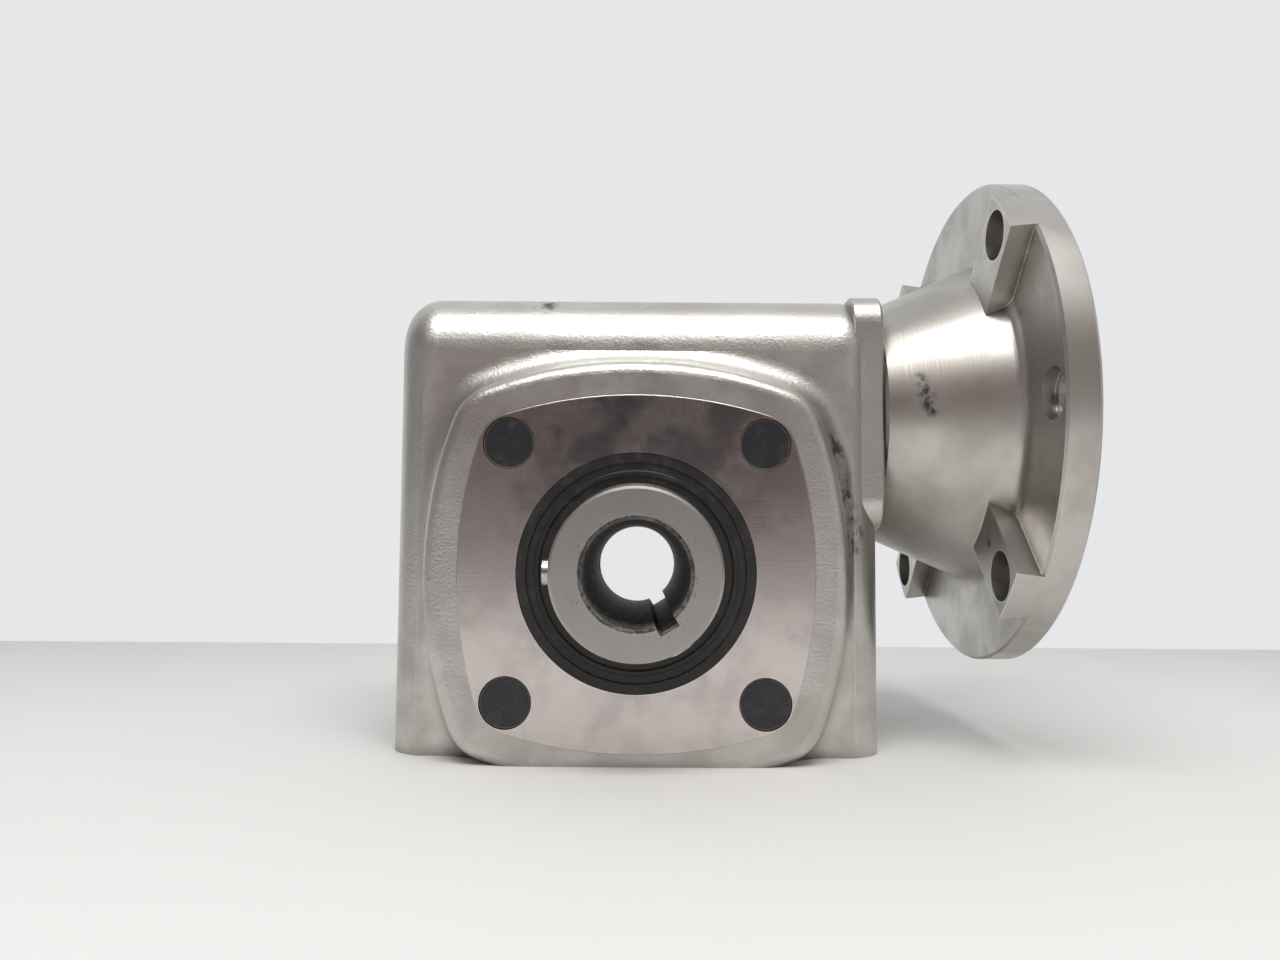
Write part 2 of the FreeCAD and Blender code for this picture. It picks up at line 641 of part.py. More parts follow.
def make_output_shaft():
    """Hollow shaft: seal ends, bearing journals, wheel seat and collar."""
    bearing_far = "out_bearing_y + out_bearing_wide + 1.5"
    points = [
        ("bore_rad + bore_chamfer", "-shaft_half"), ("end_rad - 0.8", "-shaft_half"),
        ("end_rad", "-shaft_half + 0.8"),
        ("end_rad", f"-({bearing_far})"),
        ("journal_rad", f"-({bearing_far})"), ("journal_rad", "-out_bearing_y"),
        ("seat_rad", "-out_bearing_y"), ("seat_rad", "wheel_half"), ("collar_rad - 1", "wheel_half"),
        ("collar_rad - 1", "out_bearing_y - 4"), ("journal_rad + 2.5", "out_bearing_y - 3"),
        ("journal_rad + 2.5", "out_bearing_y"), ("journal_rad", "out_bearing_y"), ("journal_rad", bearing_far),
        ("end_rad", bearing_far), ("end_rad", "shaft_half - 0.8"), ("end_rad - 0.8", "shaft_half"),
        ("bore_rad + bore_chamfer", "shaft_half"), ("bore_rad", "shaft_half - bore_chamfer"),
        ("bore_rad", "-shaft_half + bore_chamfer"),
    ]
    blank = turned("output_shaft_blank", "Y", points)
    angle = SIZES["key_angle"]
    tools = [
        radial_box("bore_keyway", "key_wide", "-shaft_half - past", "shaft_half + past",
                   "bore_rad - 6", "key_reach", angle),
        radial_box("wheel_keyway", "wheel_key_wide", "-wheel_key_half", "wheel_key_half",
                   "seat_rad - wheel_key_deep", "seat_rad + wheel_key_deep", angle + 180),
    ]
    for sign in (-1, 1):
        for heading in (180, angle):
            tools.append(radial_bar("set_screw_hole", "set_screw_rad + running", "bore_rad - 3", "end_rad + 5",
                                    sign, heading))
    keep("output_shaft", cut("output_shaft_cut", blank, tools))


def radial_bar(name, radius, inner, outer, sign, angle):
    """Round bar reaching outwards from the output axis."""
    bar = cylinder(name, radius, f"({outer}) - ({inner})", "X", (inner, f"{sign} * set_screw_y", "0"))
    return place(group(name + "_turned", [bar]), axis="Y", angle=-angle)


def make_set_screws(side):
    """Two cup-point screws, one over the keyway."""
    sign = 1 if side == "rear" else -1
    screws = []
    key_screw = (SIZES["key_angle"], "key_reach + 0.3", "0.7")
    for heading, inner, proud in ((180, "bore_rad + 0.3", "2"), key_screw):
        outer = f"end_rad + {proud}"
        bar = cylinder(side + "_grub", "set_screw_rad", f"{outer} - ({inner})", "X",
                       (inner, f"{sign} * set_screw_y", "0"))
        socket = hexagon(side + "_grub_socket", "0.55 * set_screw_rad", "set_screw_rad", "X",
                         (f"{outer} - 0.9 * set_screw_rad", f"{sign} * set_screw_y", "0"))
        screws.append(place(group(side + "_grub_turned", [cut(side + "_grub_cut", bar, [socket])]),
                            axis="Y", angle=-heading))
    keep(side + "_set_screws", group(side + "_grub_set", screws))


def tooth_wire(radii, half_angle, teeth, level, twist):
    """Closed outline of involute teeth on the plane y = level, turned by twist."""
    root, start, pitch, tip = radii
    base = pitch * math.cos(math.radians(size("pressure_angle")))

    def spread(radius):
        lean = math.acos(min(1, base / radius))
        rest = math.radians(size("pressure_angle"))
        return half_angle + (math.tan(rest) - rest) - (math.tan(lean) - lean)

    def spot(radius, angle):
        return V(radius * math.sin(angle + twist), level, radius * math.cos(angle + twist))

    edges = []
    step = 2 * math.pi / teeth
    for tooth in range(teeth):
        middle = (tooth + 0.5) * step
        left = [spot(r, middle - spread(r)) for r in (start, pitch, tip)]
        right = [spot(r, middle + spread(r)) for r in (tip, pitch, start)]
        foot_left = spot(root, middle - spread(start))
        foot_right = spot(root, middle + spread(start))
        next_foot = spot(root, middle + step - spread(start))
        edges.append(Part.LineSegment(foot_left, left[0]).toShape())
        edges.append(Part.Arc(*left).toShape())
        edges.append(Part.Arc(left[2], spot(tip, middle), right[0]).toShape())
        edges.append(Part.Arc(*right).toShape())
        edges.append(Part.LineSegment(right[2], foot_right).toShape())
        edges.append(Part.Arc(foot_right, spot(root, middle + step / 2), next_foot).toShape())
    return Part.Wire(edges)


def make_worm_wheel():
    """Bronze helical rim: one tooth gap lies under the worm at rest."""
    module = size("module")
    teeth = int(size("wheel_teeth"))
    pitch = module * teeth / 2
    base = pitch * math.cos(math.radians(size("pressure_angle")))
    radii = (pitch - 1.2 * module, base + 0.05, pitch, pitch + module)
    half_angle = (math.pi * module - size("backlash")) / 4 / pitch
    lead_slope = module / size("worm_diameter")
    half = size("wheel_half")
    twist = half * lead_slope / pitch
    low = tooth_wire(radii, half_angle, teeth, -half, -twist)
    high = tooth_wire(radii, half_angle, teeth, half, twist)
    rim = doc.addObject("Part::Feature", "wheel_rim")
    rim.Shape = Part.makeLoft([low, high], True, True)
    bore = cylinder("wheel_bore", "seat_rad", "through", "Y", ("0", "-through / 2", "0"))
    slot = radial_box("wheel_slot", "wheel_key_wide", "-wheel_half - past", "wheel_half + past",
                      "seat_rad - wheel_key_deep", "seat_rad + wheel_key_deep - 7 * slip",
                      SIZES["key_angle"] + 180)
    keep("worm_wheel", cut("worm_wheel_cut", rim, [bore, slot]))


def make_wheel_fixings():
    """Key and spacer that hold the wheel on its seat."""
    key = radial_box("wheel_key_bar", "wheel_key_wide - slip",
                     "slip - wheel_key_half", "wheel_key_half - slip",
                     "seat_rad - wheel_key_deep + slip", "seat_rad + wheel_key_deep - past",
                     SIZES["key_angle"] + 180)
    keep("wheel_key", key)
    points = [("seat_rad", "-out_bearing_y"), ("collar_rad - 1", "-out_bearing_y"),
              ("collar_rad - 1", "-wheel_half"), ("seat_rad", "-wheel_half")]
    keep("wheel_spacer", turned("wheel_spacer_ring", "Y", points))


# ---------------------------------------------------------------- worm shaft

def worm_thread():
    """Single right-hand thread whose bottom crest sits over x = 0 at rest."""
    module = size("module")
    pitch = math.pi * module
    radius = size("worm_diameter") / 2
    foot = radius - 1.3 * module
    tip = radius + module
    slope = math.tan(math.radians(size("pressure_angle")))
    half = (pitch - size("backlash")) / 4
    start = -size("thread_half")
    phase = 360 * (start - pitch / 4) / pitch
    helix = Part.makeHelix(pitch, -2 * start, radius)
    corners = []
    for r, side in ((foot, -1), (foot, 1), (tip, 1), (tip, -1)):
        corners.append(V(r, 0, side * (half - (r - radius) * slope)))
    profile = Part.makePolygon(corners + corners[:1])
    thread = Part.Wire(helix.Edges).makePipeShell([profile], True, True)
    ridge = doc.addObject("Part::Feature", "worm_thread")
    ridge.Shape = thread
    along = FreeCAD.Placement(V(0, 0, start), FreeCAD.Rotation(AXES["Z"], phase))
    onto_axis = FreeCAD.Placement(V(0, 0, size("centre_distance")), FreeCAD.Rotation(V(1, 1, 1), 120))
    ridge.Placement = onto_axis * along
    return ridge


def make_worm_shaft():
    """Worm with tail journal, bearing seat and a hollow quill for the motor shaft."""
    root = "worm_diameter / 2 - 1.2 * module"
    neck = "thread_half + 4"
    ring_x = "in_bearing_x + in_bearing_wide + 0.05"
    points = [
        ("tail_x", "0"), ("tail_x", "tail_rad - 0.5"), ("tail_x + 0.5", "tail_rad"),
        ("tail_x + tail_bearing_wide", "tail_rad"), ("tail_x + tail_bearing_wide", "tail_rad + 2"),
        (f"-({neck}) - 2", "tail_rad + 2"), (f"-({neck})", root), (neck, root),
        (f"{neck} + 2", "worm_collar_rad"), ("in_bearing_x", "worm_collar_rad"), ("in_bearing_x", "quill_rad"),
        (ring_x, "quill_rad"), (ring_x, "quill_rad - 0.6"),
        (f"{ring_x} + ring_thick + 0.1", "quill_rad - 0.6"),
        (f"{ring_x} + ring_thick + 0.1", "quill_rad"), ("quill_end - 0.6", "quill_rad"),
        ("quill_end", "quill_rad - 0.6"), ("quill_end", "0"),
    ]
    blank = fuse("worm_blank", [turned("worm_turned", "X", points), worm_thread()])
    start = "quill_end - quill_deep"
    tools = [
        cylinder("quill_bore_tool", "quill_bore", "quill_deep + past", "X", (start, "0", "centre_distance")),
        block("quill_keyway", (start, "-quill_key_wide / 2", "centre_distance"),
              ("quill_end + past", "quill_key_wide / 2", "centre_distance + quill_key_reach")),
    ]
    keep("worm_shaft", cut("worm_shaft_cut", blank, tools))


def snap_ring(node, inner, outer, start, gap_low):
    """Open retaining ring, its gap towards +Z."""
    end = f"{start} + ring_thick"
    points = [(start, inner), (end, inner), (end, outer), (start, outer)]
    opening = block(node + "_gap", (f"{start} - 1", "-3", f"centre_distance + {gap_low}"),
                    (f"{start} + ring_thick + 1", "3", "centre_distance + 40"))
    keep(node, cut(node + "_cut", turned(node + "_ring", "X", points), [opening]))


def make_snap_rings():
    snap_ring("bore_retaining_ring", "in_bearing_rad - 3.5", "in_bearing_rad + 1.2",
              "in_bearing_x + in_bearing_wide + 0.3", "10")
    snap_ring("shaft_retaining_ring", "quill_rad - 0.6", "quill_rad + 2.4",
              "in_bearing_x + in_bearing_wide + 0.1", "5")


# ---------------------------------------------------------------- motor adapter

def adapter_lug(index, angle):
    """Drafted lug that carries one motor bolt."""
    body = doc.addObject("PartDesign::Body", f"adapter_lug_{index}")
    inner = "neck_rad - 10"
    outer = "flange_rad + 6"
    left, right = "-lug_wide / 2", "lug_wide / 2"
    corners = [(inner, left), (outer, left), (outer, right), (inner, right)]
    pad = body.newObject("PartDesign::Pad", f"lug_pad_{index}")
    pad.Profile = outline(body, f"lug_outline_{index}", "YZ_Plane", corners)
    bind(pad, "Length", "flange_x - lug_x + 2")
    bind(pad, "TaperAngle", "-lug_draft")
    return place(body, ("lug_x", "0", "centre_distance"), "X", angle)


def make_motor_adapter():
    """Cast bell from the square pad to the round motor flange."""
    register = "motor_face - register_deep"
    points = [
        ("neck_x", "in_bearing_rad - 0.1"), ("neck_x", "neck_rad - 0.8"), ("neck_x + 0.9", "neck_rad + 0.3"),
        ("flange_x", "bell_rad"), ("flange_x", "flange_rad - 0.8"), ("flange_x + 0.8", "flange_rad"),
        ("motor_face - 1", "flange_rad"), ("motor_face", "flange_rad - 1"), ("motor_face", "register_rad"),
        (register, "register_rad"), (register, "bell_mouth_rad"), ("adapter_wall_x", "bell_throat_rad"),
        ("adapter_wall_x", "adapter_bore_rad"), ("neck_x - adapter_nose", "adapter_bore_rad"),
        ("neck_x - adapter_nose", "in_bearing_rad - 0.1"),
    ]
    shell = turned("adapter_shell", "X", points)
    root = size("flange_x")

    def bell_root(edge):
        on_plane = all(abs(v.X - root) < 0.01 for v in edge.Vertexes)
        return on_plane and edge.Length < 2 * math.pi * size("bell_rad + 1")

    round_edges(shell, "adapter_bell_round", shell.Tip, "bell_fillet", bell_root)
    lugs = [adapter_lug(i, angle) for i, angle in enumerate(QUARTERS)]
    ahead = "lug_x - 5 * past"
    envelope = cylinder("lug_envelope", "flange_rad", f"motor_face - ({ahead})", "X",
                        (ahead, "0", "centre_distance"))
    trimmed = common("adapter_lugs", fuse("lug_set", lugs), envelope)
    inside = turned("adapter_inside", "X", [
        ("adapter_wall_x", "0"), ("motor_face + past", "0"), ("motor_face + past", "register_rad"),
        (register, "register_rad"), (register, "bell_mouth_rad"), ("adapter_wall_x", "bell_throat_rad")])
    tools = [inside]
    for angle in QUARTERS + (180,):
        y, z = around_input("bolt_circle_rad", angle)
        tools.append(cylinder("bolt_counterbore", "counterbore_rad", f"motor_face - bolt_web - ({ahead})", "X",
                              (ahead, y, z)))
        tools.append(cylinder("bolt_through", "bolt_hole_rad", "through", "X", (ahead, y, z)))
    for angle in QUARTERS:
        y, z = around_input("adapter_screw_circle", angle)
        tools.append(cylinder("adapter_hole", "adapter_screw_rad + 2 * slip", "20", "X",
                              ("neck_x - 5", y, z)))
    keep("motor_adapter", cut("adapter_cut", fuse("adapter_blank", [shell, trimmed]), tools))


def make_adapter_gasket():
    inner = "in_bearing_rad + 3 * slip"
    outer = "pad_half - 4 * slip"
    points = [("pad_face", inner), ("neck_x", inner), ("neck_x", outer), ("pad_face", outer)]
    tools = []
    for angle in QUARTERS:
        y, z = around_input("adapter_screw_circle", angle)
        tools.append(cylinder("adapter_gasket_hole", "adapter_screw_rad + 2 * slip", "wall", "X",
                              ("pad_face - past", y, z)))
    keep("adapter_gasket", cut("adapter_gasket_cut", turned("adapter_gasket_ring", "X", points), tools))


def make_adapter_screws():
    screws = []
    for angle in QUARTERS:
        y, z = around_input("adapter_screw_circle", angle)
        screws.append(socket_screw("adapter_screw", "adapter_screw_rad", "adapter_head_rad", "adapter_head_long",
                                   "adapter_screw_long", "X", ("adapter_wall_x", y, z)))
    keep("adapter_screws", group("adapter_screw_set", screws))


# ---------------------------------------------------------------- oil plugs

def make_oil_plug(node, level):
    """Flush pipe plug with a hexagon socket, screwed into the closed end."""
    bar = cylinder(node + "_bar", "oil_plug_rad - 0.05", "oil_plug_long", "X", ("left_x + 0.4", "0", level))
    socket = hexagon(node + "_socket", "0.55 * oil_plug_rad", "oil_plug_rad", "X",
                     ("left_x - past", "0", level))
    keep(node, cut(node + "_cut", bar, [socket]))


# ---------------------------------------------------------------- build

def build_all():
    make_housing()
    for side in SIDES:
        make_cover(side)
        make_cover_gasket(side)
        make_cover_screws(side)
        make_screw_plugs(side)
        make_output_seal(side)
        make_output_seal_spring(side)
        make_set_screws(side)
    make_bearings()
    make_input_seal()
    make_snap_rings()
    make_output_shaft()
    make_worm_wheel()
    make_wheel_fixings()
    make_worm_shaft()
    make_motor_adapter()
    make_adapter_gasket()
    make_adapter_screws()
    make_oil_plug("oil_fill_plug", "fill_z")
    make_oil_plug("oil_drain_plug", "drain_z")
    doc.recompute()


def check_and_export():
    failed = [o.Name for o in doc.Objects if "Invalid" in o.State or "Error" in o.State]
    if failed:
        raise RuntimeError("failed objects: " + ", ".join(failed))
    for node, thing in parts.items():
        if thing.Shape.isNull() or not thing.Shape.isValid():
            raise RuntimeError("bad shape: " + node)
    os.makedirs("parts", exist_ok=True)
    for node, thing in parts.items():
        thing.Shape.exportStep(f"parts/{node}.step")
        box = thing.Shape.BoundBox
        print(f"{node}: {len(thing.Shape.Solids)} solids, {thing.Shape.Volume / 1000:.2f} cm3,"
              f" x {box.XMin:.1f}..{box.XMax:.1f} y {box.YMin:.1f}..{box.YMax:.1f}"
              f" z {box.ZMin:.1f}..{box.ZMax:.1f}")


build_all()
check_and_export()
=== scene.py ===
import json
import math

import bpy
from mathutils import Matrix, Vector


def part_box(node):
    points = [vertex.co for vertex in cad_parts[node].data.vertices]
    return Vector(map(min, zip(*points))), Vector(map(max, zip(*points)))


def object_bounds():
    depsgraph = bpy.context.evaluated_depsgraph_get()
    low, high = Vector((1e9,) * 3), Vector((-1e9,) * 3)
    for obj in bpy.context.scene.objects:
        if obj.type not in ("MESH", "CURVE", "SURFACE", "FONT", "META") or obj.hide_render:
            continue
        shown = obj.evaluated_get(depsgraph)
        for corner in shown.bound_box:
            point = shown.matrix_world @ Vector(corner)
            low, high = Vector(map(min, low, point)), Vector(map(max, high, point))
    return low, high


# Looks of a stainless hollow-bore worm gear reducer. Metres, in the CAD frame: the origin is on the
# output axis, +X points along the input axis to the motor, +Z is up from the mounting base.

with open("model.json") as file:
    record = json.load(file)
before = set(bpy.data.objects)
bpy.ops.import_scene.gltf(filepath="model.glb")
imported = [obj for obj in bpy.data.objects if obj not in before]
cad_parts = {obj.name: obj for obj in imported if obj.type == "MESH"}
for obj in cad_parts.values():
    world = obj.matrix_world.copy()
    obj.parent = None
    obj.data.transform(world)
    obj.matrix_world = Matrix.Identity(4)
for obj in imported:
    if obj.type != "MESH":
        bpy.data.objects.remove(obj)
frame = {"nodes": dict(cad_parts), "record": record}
cad_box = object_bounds()
MM = 0.001


# ---------------------------------------------------------------- places and sizes

WORM_LOW, WORM_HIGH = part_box("worm_shaft")
INPUT_AXIS = Vector((0, 0, (WORM_LOW.z + WORM_HIGH.z) / 2))
OUTPUT_AXIS = Vector((0, 0, 0))
FLOOR_LEVEL = cad_box[0].z

# Output shaft radii: mouth of the bore's chamfer, top of the keyway, outer edge of the rust
BORE_MOUTH = 17.2 * MM
KEYWAY_TOP = 20 * MM
RUST_EDGE = 25 * MM

# Dark marks: start, end and width in millimetres. The last housing mark is a painted shadow along the
# bottom front edge, under the overhanging cover boss.
HOUSING_MARKS_AND_SHADOW = (
    ((-26, -22, 91), (-31, -34, 86), 4.5),
    ((63, -43, 42), (69, -41, 8), 5),
    ((66, -40, 20), (70, -38, 12), 4),
    # Painted shadow: dark strip along the bottom front edge, under the overhanging cover boss
    ((-40, -45, -56), (30, -45, -60), 4),
)
ADAPTER_MARKS = (
    ((89, -44, 62), (93, -45, 52), 3.6),
    ((84, -25, 15), (96, -28, 10), 4),
    ((104, -40, 12), (112, -44, 10), 3),
)
MARK_STRENGTH = 0.85

# Floor corners. The far edge is the line behind the object.
FLOOR_NEAR = Vector((-2.0, -1.6, 0))
FLOOR_FAR = Vector((2.0, 0.285, 0))

LIGHT_PLACE = Vector((0.02, -0.42, 0.76))
LIGHT_AIM = Vector((0.02, -0.28, 0))
LIGHT_SIZE = (0.6, 0.45)
LIGHT_WATTS = 5.4

CAMERA_PLACE = Vector((0.97, -344.05, 9.19)) * MM
CAMERA_PITCH = 0.065
CAMERA_ROLL = 0.007
SENSOR_MM = 36.0
LENS_MM = 26.86
CLIP_START = 0.01


# ---------------------------------------------------------------- node graphs

class Graph:
    """Short ways to add the kinds of node that the materials and the world are mixed from."""

    def __init__(self, tree):
        self.tree = tree

    def add(self, kind, inputs, **settings):
        """A node of a kind, with settings, and inputs given as sockets or constants."""
        node = self.tree.nodes.new(kind)
        for name, value in settings.items():
            setattr(node, name, value)
        for key, value in inputs.items():
            self.feed(node.inputs[key], value)
        return node

    def feed(self, socket, value):
        if isinstance(value, bpy.types.NodeSocket):
            self.tree.links.new(value, socket)
        else:
            socket.default_value = value

    def math(self, operation, first, second=0.0, clamp=False):
        node = self.add("ShaderNodeMath", {0: first, 1: second}, operation=operation, use_clamp=clamp)
        return node.outputs[0]

    def times(self, first, second):
        return self.math("MULTIPLY", first, second)

    def vector(self, operation, first, second=(0, 0, 0), output="Vector"):
        node = self.add("ShaderNodeVectorMath", {0: first, 1: second}, operation=operation)
        return node.outputs[output]

    def part(self, axis, source):
        """One coordinate, X, Y or Z."""
        return self.add("ShaderNodeSeparateXYZ", {0: source}).outputs[axis]

    def ramp(self, value, start, end, low=0.0, high=1.0):
        """Smooth change from low to high while value goes from start to end."""
        inputs = {"Value": value, "From Min": start, "From Max": end, "To Min": low, "To Max": high}
        node = self.add("ShaderNodeMapRange", inputs, interpolation_type="SMOOTHSTEP")
        return node.outputs["Result"]

    def mix(self, amount, first, second, data_type, socket_type):
        node = self.add("ShaderNodeMix", {"Factor": amount}, data_type=data_type)
        ends = [s for s in node.inputs if s.type == socket_type and s.name in ("A", "B")]
        self.feed(ends[0], first)
        self.feed(ends[1], second)
        return next(s for s in node.outputs if s.type == socket_type)

    def tint(self, amount, first, second):
        """Colour between two colours."""
        return self.mix(amount, first, second, "RGBA", "RGBA")

    def blend(self, amount, first, second):
        """Number between two numbers."""
        return self.mix(amount, first, second, "FLOAT", "VALUE")


class Surface(Graph):
    """One Principled material and the masks that its finish is mixed from."""

    def __init__(self, name, metallic=1.0):
        self.material = bpy.data.materials.new(name)
        self.material.use_nodes = True
        super().__init__(self.material.node_tree)
        self.shader = self.tree.nodes["Principled BSDF"]
        self.shader.inputs["Metallic"].default_value = metallic
        coordinates = self.tree.nodes.new("ShaderNodeTexCoord")
        self.place = coordinates.outputs["Object"]
        self.facing = coordinates.outputs["Normal"]

    def noise(self, grain, detail, rough, stretch=(1, 1, 1), turn=(0, 0, 0)):
        """Noise whose blotches are about grain metres across, stretched along an axis."""
        mapping = self.add("ShaderNodeMapping", {"Vector": self.place, "Rotation": turn,
                                                 "Scale": [1 / s for s in stretch]})
        node = self.add("ShaderNodeTexNoise", {"Vector": mapping.outputs[0], "Scale": 1 / grain,
                                               "Detail": detail, "Roughness": rough})
        return node.outputs[0]

    def radius(self, axis, centre):
        """Distance from a line along an axis through centre."""
        mask = [0.0 if letter == axis else 1.0 for letter in "XYZ"]
        offset = self.vector("SUBTRACT", self.place, centre)
        flat = self.vector("MULTIPLY", offset, mask)
        return self.vector("LENGTH", flat, output="Value")

    def rings(self, axis, centre, pitch):
        """Fine circles about an axis, as a lathe leaves."""
        inputs = {"W": self.radius(axis, centre), "Scale": 1 / pitch, "Detail": 2.0}
        return self.add("ShaderNodeTexNoise", inputs, noise_dimensions="1D").outputs[0]

    def edge_wear_and_glint(self, radius):
        """1 on sharp edges, 0 on open surfaces; the pale edges painted with it are wear and painted
        highlight.
        """
        bevel = self.add("ShaderNodeBevel", {"Radius": radius}, samples=4)
        geometry = self.add("ShaderNodeNewGeometry", {})
        alike = self.vector("DOT_PRODUCT", bevel.outputs[0], geometry.outputs["Normal"], "Value")
        return self.ramp(alike, 0.99, 0.84)

    def crevices(self, reach):
        """1 in occluded corners, 0 in the open; it masks painted shade on the castings and the pale
        crust on the plugs.
        """
        node = self.add("ShaderNodeAmbientOcclusion", {"Distance": reach}, samples=6)
        return self.ramp(node.outputs["AO"], 0.85, 0.35)

    def corner_shade(self, reach):
        """Uneven painted shade in corners."""
        return self.times(self.crevices(reach), self.noise(3 * MM, 4.0, 0.7))

    def streak(self, start, end, width):
        """1 along a ragged dark mark between two points."""
        along = end - start
        offset = self.vector("SUBTRACT", self.place, start)
        share = self.vector("DOT_PRODUCT", offset, along / along.length_squared, "Value")
        share = self.math("ADD", share, 0.0, clamp=True)
        foot = self.add("ShaderNodeVectorMath", {0: along, "Scale": share}, operation="SCALE")
        away = self.vector("LENGTH", self.vector("SUBTRACT", offset, foot.outputs[0]), output="Value")
        near = self.ramp(away, width, width * 0.25)
        return self.times(near, self.ramp(self.noise(width, 4.0, 0.65), 0.42, 0.62))

    def streaks(self, marks):
        """The strongest of several marks, given in millimetres."""
        masks = [self.streak(Vector(start) * MM, Vector(end) * MM, width * MM)
                 for start, end, width in marks]
        strongest = masks[0]
        for mask in masks[1:]:
            strongest = self.math("MAXIMUM", strongest, mask)
        return strongest

    def stain(self, colour, mask, strength, tone):
        """Colour with another laid over it where the mask is."""
        return self.tint(self.times(mask, strength), colour, tone)

    def bump(self, height, distance, under=None):
        inputs = {"Height": height, "Distance": distance, "Strength": 1.0}
        if under is not None:
            inputs["Normal"] = under
        return self.add("ShaderNodeBump", inputs).outputs[0]

    def finish(self, colour, roughness, normal):
        self.feed(self.shader.inputs["Base Color"], colour)
        self.feed(self.shader.inputs["Roughness"], roughness)
        self.feed(self.shader.inputs["Normal"], normal)
        return self.material


def shade(red, green, blue):
    return (red, green, blue, 1.0)


def darker(tone, share):
    return shade(*[channel * share for channel in tone[:3]])


# ---------------------------------------------------------------- finishes of the castings

# Tone of the dark marks, and of the painted shadow under the housing's front
MARK_AND_SHADOW_TONE = shade(0.030, 0.032, 0.042)
RUST = shade(0.20, 0.085, 0.030)


def cast_grain(surface):
    """Pebbled skin of an investment casting: fine grain over slow waves."""
    grain = surface.noise(0.9 * MM, 3.5, 0.6)
    waves = surface.noise(9 * MM, 2.0, 0.5)
    fine = surface.bump(grain, 0.11 * MM)
    return surface.bump(waves, 0.12 * MM, fine)


def cast_colour(surface, pale, dark):
    """Warm grey with slow patches and faint speckle."""
    patches = surface.ramp(surface.noise(28 * MM, 4.0, 0.6), 0.38, 0.66)
    speckle = surface.ramp(surface.noise(2.2 * MM, 3.0, 0.7), 0.62, 0.78, 0.0, 0.35)
    return surface.tint(speckle, surface.tint(patches, pale, dark), dark)


def cast_roughness(surface, low, high):
    return surface.ramp(surface.noise(14 * MM, 3.0, 0.6), 0.3, 0.7, low, high)


def cast_stainless():
    """Bead-blasted stainless casting of the housing, with dark marks, a painted shadow along its
    bottom front edge, painted shade in corners and pale edges of wear and painted highlight.
    """
    surface = Surface("cast_stainless")
    marks = surface.streaks(HOUSING_MARKS_AND_SHADOW)
    wear_and_glint = surface.edge_wear_and_glint(0.5 * MM)
    colour = cast_colour(surface, shade(0.64, 0.625, 0.595), shade(0.52, 0.50, 0.47))
    # Dark marks, one of them a painted shadow along the bottom front edge
    colour = surface.stain(colour, marks, MARK_STRENGTH, MARK_AND_SHADOW_TONE)
    # Painted shade: darker where corners and creases are occluded
    colour = surface.stain(colour, surface.corner_shade(5 * MM), 0.9, shade(0.16, 0.14, 0.115))
    # Pale edges: wear and painted highlight along sharp edges
    colour = surface.stain(colour, wear_and_glint, 0.6, shade(0.80, 0.79, 0.76))
    roughness = cast_roughness(surface, 0.33, 0.43)
    roughness = surface.blend(surface.times(marks, 0.7), roughness, 0.6)
    roughness = surface.blend(wear_and_glint, roughness, 0.2)
    return surface.finish(colour, roughness, cast_grain(surface))


def adapter_cast():
    """Motor adapter: casting colours under faint turned circles, smooth faces towards the motor and
    pale nicked rims that are wear and painted highlight."""
    surface = Surface("adapter_cast")
    turned = surface.ramp(surface.part("X", surface.facing), 0.90, 0.97)
    nicks_and_glint = surface.times(surface.edge_wear_and_glint(0.7 * MM), surface.noise(1.6 * MM, 4.0, 0.8))
    nicks_and_glint = surface.ramp(nicks_and_glint, 0.25, 0.5)
    colour = cast_colour(surface, shade(0.55, 0.53, 0.50), shade(0.44, 0.42, 0.385))
    colour = surface.stain(colour, surface.streaks(ADAPTER_MARKS), MARK_STRENGTH, MARK_AND_SHADOW_TONE)
    # Painted shade: darker where corners and creases are occluded
    colour = surface.tint(surface.corner_shade(6 * MM), colour, shade(0.14, 0.12, 0.10))
    colour = surface.tint(turned, colour, shade(0.66, 0.65, 0.62))
    # Pale nicks on the edges: wear and painted highlight
    colour = surface.tint(nicks_and_glint, colour, shade(0.86, 0.85, 0.83))
    roughness = cast_roughness(surface, 0.30, 0.40)
    roughness = surface.blend(turned, roughness, 0.24)
    roughness = surface.blend(nicks_and_glint, roughness, 0.18)
    circles = surface.bump(surface.rings("X", INPUT_AXIS, 0.35 * MM), 0.03 * MM)
    # A zero vector leaves the turned faces with their plain mesh normal.
    normal = surface.mix(turned, circles, (0, 0, 0), "VECTOR", "VECTOR")
    return surface.finish(colour, roughness, normal)


# ---------------------------------------------------------------- finishes of machined metal

